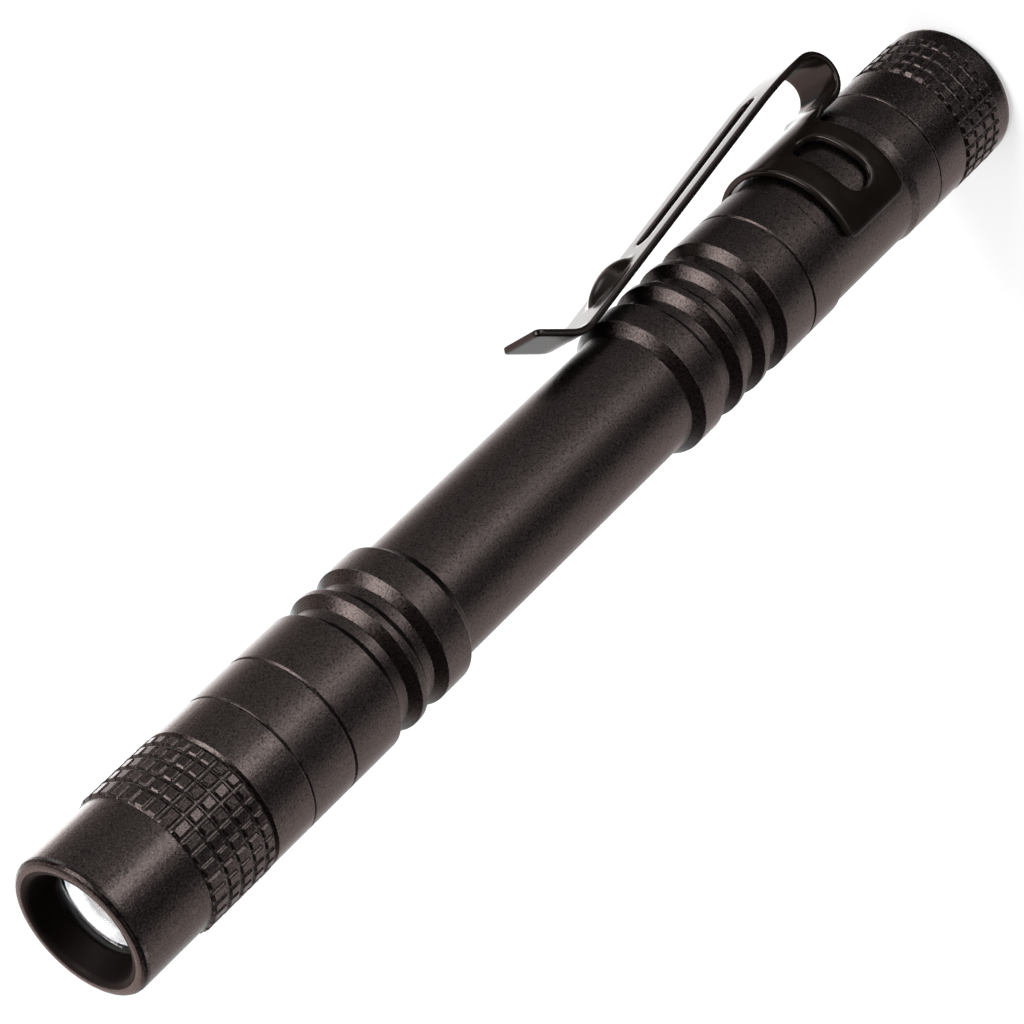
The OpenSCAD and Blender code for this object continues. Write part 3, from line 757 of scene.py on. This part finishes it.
def make_button():
    """Rubber button: a flange inside the cap and a softly dished crown with a raised rim."""
    crown, button_r, flange_r, flange_h = 0.45, 4.08, 4.68, 0.8
    crown_round, flange_round = 0.55, 0.12
    rim_r, dish_r, dish_h, sag = 2.7, 2.2, 0.22, 0.26
    rim_round, dish_round = 0.25, 0.4
    z0 = span("button")[1].z - flange_h
    outline = part_outline(
        [(AXIS, Z_FLANGE), (flange_r, Z_FLANGE, flange_round), (flange_r, z0, flange_round)],
        [(button_r, z0, SOFT_EDGE), (button_r, crown, crown_round), (rim_r, crown, rim_round)],
        [(dish_r, crown + dish_h, dish_round), (AXIS, crown + sag)],
    )
    button = revolve("press_button", outline, even(144))
    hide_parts("button")
    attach(button, "push_button")
    return button


def coil(name, r0, r1, z0, z1, turns, wire):
    """A wire wound evenly from radius r0 at height z0 to radius r1 at height z1."""
    per_turn, sides = 40, 12
    n = int(turns * per_turn)
    f = np.arange(n + 1) / n
    a = f * turns * 2 * math.pi
    r = r0 + (r1 - r0) * f
    path = np.stack([r * np.cos(a), r * np.sin(a), z0 + wire / 2 + (z1 - z0 - wire) * f], axis=1)
    along = np.gradient(path, axis=0)
    along /= np.linalg.norm(along, axis=1)[:, None]
    out = path * [1, 1, 0]
    out -= along * (out * along).sum(axis=1)[:, None]
    out /= np.linalg.norm(out, axis=1)[:, None]
    side = np.cross(along, out)
    k = even(sides)
    ring = wire / 2 * (np.cos(k)[None, :, None] * out[:, None] + np.sin(k)[None, :, None] * side[:, None])
    verts = (path[:, None] + ring).reshape(-1, 3)
    faces = [
        (i * sides + j, i * sides + (j + 1) % sides, (i + 1) * sides + (j + 1) % sides, (i + 1) * sides + j)
        for i in range(n)
        for j in range(sides)
    ]
    faces += [tuple(range(sides)), tuple(n * sides + j for j in range(sides))]
    return mesh_object(name, verts, faces)


def make_springs():
    """The tail's contact spring and the switch's return spring."""
    low, high = span("tail_spring")
    tail = coil("contact_spring", r0=3.45, r1=1.9, z0=low.z, z1=high.z, turns=5, wire=0.6)
    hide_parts("tail_spring")
    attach(tail, "tail")
    low, high = span("switch_spring")
    switch = coil("return_spring", r0=3.6, r1=3.6, z0=low.z, z1=high.z, turns=4, wire=0.34)
    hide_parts("switch_spring")
    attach(switch, "tail")
    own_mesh(switch)
    return tail, switch


# Materials


class Nodes:
    """Short ways to add nodes to a node tree."""

    def __init__(self, tree):
        self.tree = tree

    def node(self, kind, inputs=None, **settings):
        """A node with its settings; each input takes a value or is linked to a socket."""
        made = self.tree.nodes.new(kind)
        for key, value in settings.items():
            setattr(made, key, value)
        for key, value in (inputs or {}).items():
            if isinstance(value, bpy.types.NodeSocket):
                self.tree.links.new(value, made.inputs[key])
            else:
                made.inputs[key].default_value = value
        return made

    def place(self):
        """The shaded point in its object's own frame, in metres."""
        return self.node("ShaderNodeTexCoord").outputs["Object"]

    def noise(self, scale, detail=2.0, roughness=0.5):
        """A noise over the object, whose scale counts its waves in a metre."""
        inputs = {"Scale": scale, "Detail": detail, "Roughness": roughness, "Vector": self.place()}
        return self.node("ShaderNodeTexNoise", inputs).outputs["Fac"]

    def spread(self, value, low, high, start=0.3, end=0.7):
        """A value between start and end, spread over low to high."""
        inputs = {"Value": value, "From Min": start, "From Max": end, "To Min": low, "To Max": high}
        return self.node("ShaderNodeMapRange", inputs).outputs["Result"]

    def math(self, operation, a, b):
        """The result of a sum on two values."""
        return self.node("ShaderNodeMath", {0: a, 1: b}, operation=operation).outputs["Value"]

    def mixed(self, factor, a, b):
        """Colour a where the factor is 0, and b where it is 1."""
        return self.node("ShaderNodeMix", {0: factor, 6: a, 7: b}, data_type="RGBA").outputs[2]

    def ramp(self, value, *stops, blend="LINEAR"):
        """The colour that a value from 0 to 1 has on a ramp of stops (place, colour)."""
        made = self.node("ShaderNodeValToRGB", {"Fac": value})
        made.color_ramp.interpolation = blend
        elements = made.color_ramp.elements
        while len(elements) < len(stops):
            elements.new(0.5)
        for element, (at, colour) in zip(elements, stops):
            element.position = at
            element.color = (*colour, 1)
        return made.outputs["Color"]


class Shader(Nodes):
    """A new material with its principled shader."""

    def __init__(self, name, **sockets):
        self.material = bpy.data.materials.new(name)
        self.material.use_nodes = True
        super().__init__(self.material.node_tree)
        self.main = self.tree.nodes["Principled BSDF"]
        for socket, value in sockets.items():
            self.main.inputs[socket.replace("_", " ")].default_value = value

    def to(self, socket, value):
        """Links a value to an input of the principled shader."""
        self.tree.links.new(value, self.main.inputs[socket])

    def bump(self, height, strength, distance):
        """Bumps of that height, over a distance in millimetres."""
        inputs = {"Height": height, "Strength": strength, "Distance": distance * MM}
        self.to("Normal", self.node("ShaderNodeBump", inputs).outputs["Normal"])

    def worn(self, low, high, scale):
        """How worn the surface is: along outward edges, broken up by a noise."""
        edge = self.node("ShaderNodeAttribute", attribute_name="edge").outputs["Fac"]
        return self.math("MULTIPLY", edge, self.spread(self.noise(scale, 3), low, high, 0.42, 0.62))


# Colours of the anodised metal: its warm sheen, the pale and dark grains at full level, and worn edges
SHEEN = (1.0, 0.79, 0.75, 1)
PALE_GRAIN = (1, 0.77, 0.68)
FINE_DARK = (0.07, 0.054, 0.047)
SOFT_DARK = (0.16, 0.12, 0.11)
WORN_EDGE = (0.12, 0.1, 0.095, 1)


def scaled(colour, level):
    """A colour at a level of its brightness."""
    return tuple(level * c for c in colour)


def anodised(name, pale, smooth, rough):
    """Black anodised aluminium, bead blasted: a sandy warm grain, cloudy variation and lighter worn edges."""
    s = Shader(name, Specular_Tint=SHEEN, IOR=1.5)
    grain = s.noise(5600, detail=3, roughness=0.7)
    light = scaled(PALE_GRAIN, pale)
    fine = s.ramp(grain, (0.41, scaled(FINE_DARK, pale)), (0.6, light))
    soft = s.ramp(grain, (0.36, scaled(SOFT_DARK, pale)), (0.64, light))
    black = s.mixed(s.spread(s.noise(260, detail=3), 0, 1), fine, soft)
    s.to("Base Color", s.mixed(s.worn(0.0, 0.5, 1500), black, WORN_EDGE))
    s.to("Roughness", s.spread(grain, smooth, rough))
    s.to("Specular IOR Level", s.spread(grain, 0.1, 0.9))
    s.bump(grain, strength=0.8, distance=0.02)
    return s.material


def clip_finish():
    """Black lacquer baked on spring steel: smooth, glossy and darker than the body."""
    s = Shader("clip_black", Specular_Tint=(1.0, 0.88, 0.84, 1), IOR=1.34)
    cloud = s.noise(420, detail=3)
    s.to("Base Color", s.ramp(cloud, (0.3, (0.0080, 0.0057, 0.0046)), (0.7, (0.0112, 0.0080, 0.0066))))
    s.to("Roughness", s.spread(cloud, 0.13, 0.19))
    s.bump(s.noise(5200), strength=0.06, distance=0.01)
    return s.material


def plain_finish(name, dark, light, scale, rough, bump=0.1, **sockets):
    """A finish that varies softly between two colours, with a light grain."""
    s = Shader(name, **sockets)
    cloud = s.noise(scale, detail=3)
    s.to("Base Color", s.ramp(cloud, (0.3, dark), (0.7, light)))
    s.to("Roughness", s.spread(cloud, rough - 0.05, rough + 0.05))
    s.bump(s.noise(scale * 14), strength=bump, distance=0.02)
    return s.material


def metal_finish(name, dark, light, scale, rough, bump):
    """A plain finish of bare metal."""
    return plain_finish(name, dark, light, scale, rough, bump, Metallic=1.0)


def glass():
    """Clear moulded lens, with a trace of haze."""
    s = Shader("lens_clear", Transmission_Weight=1.0, IOR=1.49, Base_Color=(0.99, 0.995, 1.0, 1))
    s.to("Roughness", s.spread(s.noise(300), 0.02, 0.05))
    s.bump(s.noise(700, detail=1), strength=0.02, distance=0.01)
    return s.material


def mirror():
    """Vacuum-metallised bowl with a slight orange peel."""
    s = Shader("reflector_bright", Metallic=1.0, Base_Color=(0.95, 0.95, 0.95, 1))
    s.to("Roughness", s.spread(s.noise(500), 0.24, 0.34))
    s.bump(s.noise(1500, detail=1), strength=0.06, distance=0.03)
    return s.material


def cell_jacket():
    """Cell: a plain jacket with a coppery shoulder band and bare steel ends, set by height in a cell."""
    s = Shader("cell_jacket", Metallic=0.6)
    low, high = span("battery_rear")
    height = s.node("ShaderNodeSeparateXYZ", {"Vector": s.place()}).outputs["Z"]
    cells = s.math("DIVIDE", s.math("SUBTRACT", height, low.z * MM), (high.z - low.z) * MM)
    share = s.node("ShaderNodeMath", {0: cells}, operation="FRACT").outputs["Value"]
    steel, jacket, copper = (0.55, 0.55, 0.56), (0.03, 0.033, 0.04), (0.42, 0.2, 0.09)
    stops = [(0.0, steel), (0.015, jacket), (0.72, copper), (0.97, steel)]
    s.to("Base Color", s.ramp(share, *stops, blend="CONSTANT"))
    s.to("Roughness", s.spread(s.noise(500, detail=3), 0.25, 0.38))
    s.bump(s.noise(3000), strength=0.04, distance=0.01)
    return s.material


def lip_shade_finish():
    """Painted shade inside the lip: a darker, duller, less reflective copy of the black finish that stands in
    for the shade in the cone.
    """
    s = Shader("lip_painted_shade", Specular_Tint=SHEEN, IOR=1.22)
    cloud = s.noise(500, detail=3)
    s.to("Base Color", s.ramp(cloud, (0.3, (0.0016, 0.0012, 0.001)), (0.7, (0.0026, 0.002, 0.0017))))
    s.to("Roughness", s.spread(cloud, 0.5, 0.6))
    s.bump(s.noise(5200), strength=0.2, distance=0.02)
    return s.material


def shade_lip_cone(head, material):
    """Gives the faces of the cone inside the lip the painted shade finish."""
    head.data.materials.append(material)
    for face in head.data.polygons:
        x, y, z = face.center / MM
        face.material_index = int(z > Z_LIP - LIP_SHADE_DROP and math.hypot(x, y) < LIP_SHADE_R)


def dress(obj, material):
    """Gives an object that material alone."""
    obj.data.materials.clear()
    obj.data.materials.append(material)


def dress_parts(made):
    """Materials for the made pieces and for the CAD nodes that stay."""
    body = anodised("anodised_black", pale=0.0045, smooth=0.18, rough=0.32)
    tube = anodised("anodised_matt", pale=0.007, smooth=0.24, rough=0.38)
    rubber = plain_finish("seal_rubber", (0.010, 0.009, 0.009), (0.016, 0.015, 0.014), 600, 0.55)
    soft = plain_finish("button_rubber", (0.012, 0.011, 0.010), (0.02, 0.018, 0.017), 500, 0.62, 0.25)
    board = plain_finish("circuit_board", (0.015, 0.11, 0.045), (0.025, 0.15, 0.06), 500, 0.42)
    brass = metal_finish("brass", (0.62, 0.42, 0.16), (0.72, 0.5, 0.2), 400, 0.3, 0.05)
    alloy = metal_finish("plain_aluminium", (0.62, 0.62, 0.63), (0.7, 0.7, 0.71), 700, 0.32, 0.08)
    steel = metal_finish("spring_steel", (0.48, 0.49, 0.5), (0.58, 0.58, 0.59), 700, 0.25, 0.04)
    gold = metal_finish("spring_gold", (0.72, 0.5, 0.18), (0.8, 0.6, 0.26), 700, 0.24, 0.04)
    dome = plain_finish("lamp_dome", (0.9, 0.7, 0.16), (0.95, 0.78, 0.24), 900, 0.2, 0.02, Coat_Weight=0.6)
    jacket = cell_jacket()
    dress(made["head"], body)
    dress(made["tube"], tube)
    dress(made["tail"], body)
    # painted shade: the cone inside the lip takes a darker finish where shade falls
    shade_lip_cone(made["head"], lip_shade_finish())
    dress(made["clip"], clip_finish())
    dress(made["lens"], glass())
    dress(made["reflector"], mirror())
    dress(made["button"], soft)
    dress(made["tail_spring"], gold)
    dress(made["switch_spring"], steel)
    for seal in made["seals"]:
        dress(seal, rubber)
    finishes = {
        "lamp_gasket": plain_finish("gasket_white", (0.72, 0.71, 0.68), (0.8, 0.79, 0.77), 400, 0.6),
        "lamp_dome": dome,
        "lamp_package": plain_finish("lamp_ceramic", (0.75, 0.73, 0.68), (0.84, 0.82, 0.78), 900, 0.5),
        "lamp_board": plain_finish("lamp_board", (0.72, 0.72, 0.71), (0.8, 0.8, 0.79), 600, 0.4),
        "lamp_leads": plain_finish("lead_sleeve", (0.42, 0.03, 0.02), (0.5, 0.045, 0.03), 600, 0.45),
        "lamp_carrier": brass,
        "driver_board": board,
        "driver_stud": brass,
        "battery_front": jacket,
        "battery_rear": jacket,
        "switch_plunger": plain_finish("switch_white", (0.7, 0.68, 0.63), (0.78, 0.76, 0.71), 500, 0.45),
        "switch_housing": plain_finish("switch_black", (0.02, 0.02, 0.021), (0.03, 0.03, 0.031), 500, 0.5),
        "switch_board": board,
        "switch_ring": alloy,
    }
    for name, finish in finishes.items():
        dress(nodes[name], finish)


# Stage, in metres


def make_camera():
    """Camera at the photograph's place, which looks down on the light from beside its head."""
    right = Vector((-0.61263, -0.52344, -0.59220))
    up = Vector((0.77735, -0.26361, -0.57116))
    back = Vector((0.14287, -0.81026, 0.56839))
    place = Vector((0.048708, -0.276238, 0.264020))
    data = bpy.data.cameras.new("camera")
    data.sensor_width = 36
    data.lens = 140.8
    data.clip_start = 0.01
    camera = link("camera", data)
    camera.matrix_world = Matrix(
        [(right[i], up[i], back[i], place[i]) for i in range(3)] + [(0, 0, 0, 1)]
    )
    bpy.context.scene.camera = camera


# The direction from the light to the camera, flat on the floor, and the one to the picture's lower right
TO_CAMERA = Vector((0.17365, -0.98481, 0))
TO_SIDE = Vector((-0.98481, -0.17365, 0))


def toward(azimuth, elevation):
    """Unit direction at an azimuth from the camera's side, turning to the lower right, and an elevation."""
    a, e = math.radians(azimuth), math.radians(elevation)
    return (math.cos(a) * TO_CAMERA + math.sin(a) * TO_SIDE) * math.cos(e) + Vector((0, 0, math.sin(e)))


# Floor: how far it reaches and lies below the tail, and how much its white is lifted near by and far off; the
# larger lift far off is painted light that washes out the far part of the shadow
FLOOR_REACH = 6.0
FLOOR_DROP = 0.00005
NEAR_LIFT = 0.45
FAR_LIFT = 0.8
LIFT_RANGE = (0.25, 1.2)


def make_floor():
    """Pale floor that keeps the shadow near the light, with a glow to the camera that grows with distance,
    painted light that washes out its far shadow; reflections show the studio that the world holds.
    """
    mesh = bpy.data.meshes.new("floor")
    signs = [(-1, -1), (1, -1), (1, 1), (-1, 1)]
    mesh.from_pydata([(x * FLOOR_REACH, y * FLOOR_REACH, 0) for x, y in signs], [], [(0, 1, 2, 3)])
    floor = link("floor", mesh)
    floor.location.z = -FLOOR_DROP
    floor.visible_glossy = False
    s = Shader("floor", Roughness=0.9, Specular_IOR_Level=0.0, Base_Color=(0.86, 0.86, 0.86, 1))
    path = s.node("ShaderNodeLightPath").outputs
    seen = s.math("MAXIMUM", path["Is Camera Ray"], path["Is Transmission Ray"])
    s.main.inputs["Emission Color"].default_value = (1, 1, 1, 1)
    far = s.node("ShaderNodeVectorMath", {0: s.place()}, operation="LENGTH").outputs["Value"]
    # painted light: the floor's glow rises away from the light, so that its far shadow fades
    lift = s.spread(far, NEAR_LIFT, FAR_LIFT, *LIFT_RANGE)
    s.to("Emission Strength", s.math("MULTIPLY", seen, lift))
    dress(floor, s.material)


# The studio that reflections see, as levels by azimuth from the camera's side. Each list of walls holds over
# a range of heights. The lowest four stand where the camera finds them in the upright wall of the light: a
# bright narrow panel for the nose, which is broader and dimmer toward the tail. Walls at eye level, with a
# panel on each side, serve lower views from all round, and dim upper walls serve the slopes that face up.
TAIL_WALLS = [(-180, 2.4), (-165, 2.4), (-150, 1.8), (-138, 0.8), (-122, 0.3), (-108, 0.06), (-80, 0.02)]
TAIL_WALLS += [(0, 0.02), (25, 0.01), (55, 0.02), (64, 0.22), (74, 0.85), (92, 1.05), (110, 0.9), (130, 0.6)]
TAIL_WALLS += [(180, 1.2)]
WAIST_WALLS = [(-180, 2.4), (-165, 2.4), (-150, 2.0), (-140, 1.5), (-125, 0.9), (-108, 0.5), (-90, 0.36)]
WAIST_WALLS += [(-74, 0.55), (-53, 1.0), (-34, 1.6), (-15, 2.1), (-7, 2.3), (3, 2.3), (11, 1.7), (20, 1.0)]
WAIST_WALLS += [(30, 0.7), (50, 0.5), (60, 0.65), (71, 0.95), (83, 1.2), (95, 1.25), (110, 1.1), (128, 0.8)]
WAIST_WALLS += [(180, 1.2)]
FRONT_WALLS = [(-180, 2.4), (-165, 2.8), (-150, 2.8), (-143, 2.4), (-129, 1.3), (-116, 0.8), (-102, 0.6)]
FRONT_WALLS += [(-72, 1.2), (-37, 2.8), (-21, 4.0), (-10, 5.0), (4, 5.0), (13, 4.0), (26, 1.9), (36, 1.1)]
FRONT_WALLS += [(50, 0.6), (62, 0.8), (75, 1.5), (90, 1.6), (112, 1.15), (130, 0.7), (180, 1.2)]
NOSE_WALLS = [(-180, 2.4), (-165, 3.0), (-152, 4.0), (-147, 4.0), (-136, 2.4), (-124, 0.8), (-112, 0.34)]
NOSE_WALLS += [(-80, 0.36), (-40, 0.55), (-20, 0.75), (-12, 1.0), (-7, 9.4), (5, 9.4), (10, 1.1), (17, 0.1)]
NOSE_WALLS += [(24, 0.02), (61, 0.03), (72, 0.2), (86, 0.62), (102, 0.9), (120, 0.8), (140, 0.6), (180, 1.2)]
EYE_WALLS = [(-180, 0.8)]
for panel in (-165, -90, 0, 90):
    EYE_WALLS += [(panel - 13, 0.4), (panel - 8, 3.0), (panel + 4, 3.0), (panel + 14, 0.4)]
EYE_WALLS.append((180, 0.8))
UPPER_WALLS = [(-180, 1.4), (-155, 1.4), (-135, 0.9), (-105, 0.1), (100, 0.05), (130, 0.2), (152, 1.2)]
UPPER_WALLS += [(180, 1.4)]

# Tints of the walls; those without one are white in front and behind and turn warm at these azimuths
WARM = (1.16, 0.92, 0.87)
NEUTRAL = (0.94, 1.02, 1.04)
WARM_AT = [60, 115, 130, 152]
WARM_SHARE = [0, 1, 0.8, 0]

# Over the tail's walls: the heights over which each next list takes over, its levels and its tint
BANDS = [
    ((-0.604, -0.564), WAIST_WALLS, None),
    ((-0.57, -0.515), FRONT_WALLS, None),
    ((-0.5, -0.47), NOSE_WALLS, None),
    ((-0.34, -0.26), EYE_WALLS, NEUTRAL),
    ((-0.05, 0.15), UPPER_WALLS, WARM),
]
CEILING = 0.1
CEILING_FROM = (0.88, 0.93)
SOFTBOX = 11.5
SOFTBOX_AT = (-67, 47)
SOFTBOX_EDGE = (0.94, 0.985)

# What shows through the lens: white sides, a bright ring overhead and a dim zenith for views from above
SIDES = 1.0
OVERHEAD = 6.0
OVERHEAD_FROM = (0.25, 0.55)
ZENITH = 0.35
ZENITH_FROM = (0.86, 0.97)

# Strength that the studio's colours are multiplied by, and the white room's as a light and to the camera
STUDIO = 20.0
ROOM_LIGHT = 0.35
ROOM_SEEN = 1.0


def wall_colour(azimuth, level, tint):
    """Colour of a wall at a level, with its tint or the warm one that belongs to its azimuth."""
    warm = np.interp(abs(azimuth), WARM_AT, WARM_SHARE)
    return scaled(tint or [1 - warm + warm * w for w in WARM], level / STUDIO)


def make_world():
    """A white room for the camera, a soft light for the object, and a studio for its reflections."""
    world = bpy.data.worlds.new("world")
    bpy.context.scene.world = world
    world.use_nodes = True
    s = Nodes(world.node_tree)
    ahead = s.node("ShaderNodeTexCoord").outputs["Generated"]

    def along(direction):
        inputs = {0: ahead, 1: direction}
        return s.node("ShaderNodeVectorMath", inputs, operation="DOT_PRODUCT").outputs["Value"]

    turn = s.spread(s.math("ARCTAN2", along(TO_SIDE), along(TO_CAMERA)), 0, 1, -math.pi, math.pi)
    rise = along(Vector((0, 0, 1)))

    def walls(stops, tint=None):
        return s.ramp(turn, *[(azimuth / 360 + 0.5, wall_colour(azimuth, v, tint)) for azimuth, v in stops])

    def plain(level):
        return (level / STUDIO,) * 3 + (1,)

    def above(heights):
        return s.spread(rise, 0, 1, *heights)

    room = walls(TAIL_WALLS)
    for heights, stops, tint in BANDS:
        room = s.mixed(above(heights), room, walls(stops, tint))
    room = s.mixed(above(CEILING_FROM), room, plain(CEILING))
    room = s.mixed(s.spread(along(toward(*SOFTBOX_AT)), 0, 1, *SOFTBOX_EDGE), room, plain(SOFTBOX))
    through = s.mixed(above(OVERHEAD_FROM), plain(SIDES), plain(OVERHEAD))
    through = s.mixed(above(ZENITH_FROM), through, plain(ZENITH))
    path = s.node("ShaderNodeLightPath").outputs
    room = s.mixed(path["Is Transmission Ray"], room, through)
    studio = s.node("ShaderNodeBackground", {"Color": room, "Strength": STUDIO})
    white = s.tree.nodes["Background"]
    white.inputs["Color"].default_value = (1, 1, 1, 1)
    strength = s.spread(path["Is Camera Ray"], ROOM_LIGHT, ROOM_SEEN, 0, 1)
    s.tree.links.new(strength, white.inputs["Strength"])
    inputs = {0: path["Is Glossy Ray"], 1: white.outputs[0], 2: studio.outputs[0]}
    both = s.node("ShaderNodeMixShader", inputs)
    s.tree.links.new(both.outputs[0], s.tree.nodes["World Output"].inputs["Surface"])


def make_lamp(name, azimuth, elevation, distance, size, power):
    """A soft round lamp that faces the middle of the light and shows in no reflection."""
    data = bpy.data.lights.new(name, "AREA")
    data.shape = "DISK"
    data.size = size
    data.energy = power
    lamp = link(name, data)
    lamp.visible_glossy = False
    middle = Vector((0, 0, 0.06))
    out = toward(azimuth, elevation)
    lamp.location = middle + out * distance
    lamp.rotation_mode = "QUATERNION"
    lamp.rotation_quaternion = out.to_track_quat("Z", "Y")


make_camera()
make_floor()
make_world()
make_lamp("key", azimuth=-57, elevation=47, distance=0.5, size=0.3, power=1.5)
make_lamp("top", azimuth=150, elevation=78, distance=0.7, size=0.4, power=1.6)

tail_spring, switch_spring = make_springs()
made = {
    "head": make_head(),
    "tube": make_tube(),
    "tail": make_tail(),
    "clip": make_clip(),
    "lens": make_lens(),
    "reflector": make_reflector(),
    "button": make_button(),
    "tail_spring": tail_spring,
    "switch_spring": switch_spring,
    "seals": [
        make_seal("head_seal_ring", "head_seal", "head_ring"),
        make_seal("tail_seal_ring", "tail_seal", "tail_ring"),
        make_seal("lens_seal_ring", "lens_seal", "head"),
    ],
}
dress_parts(made)

bpy.context.scene.view_settings.view_transform = "Standard"
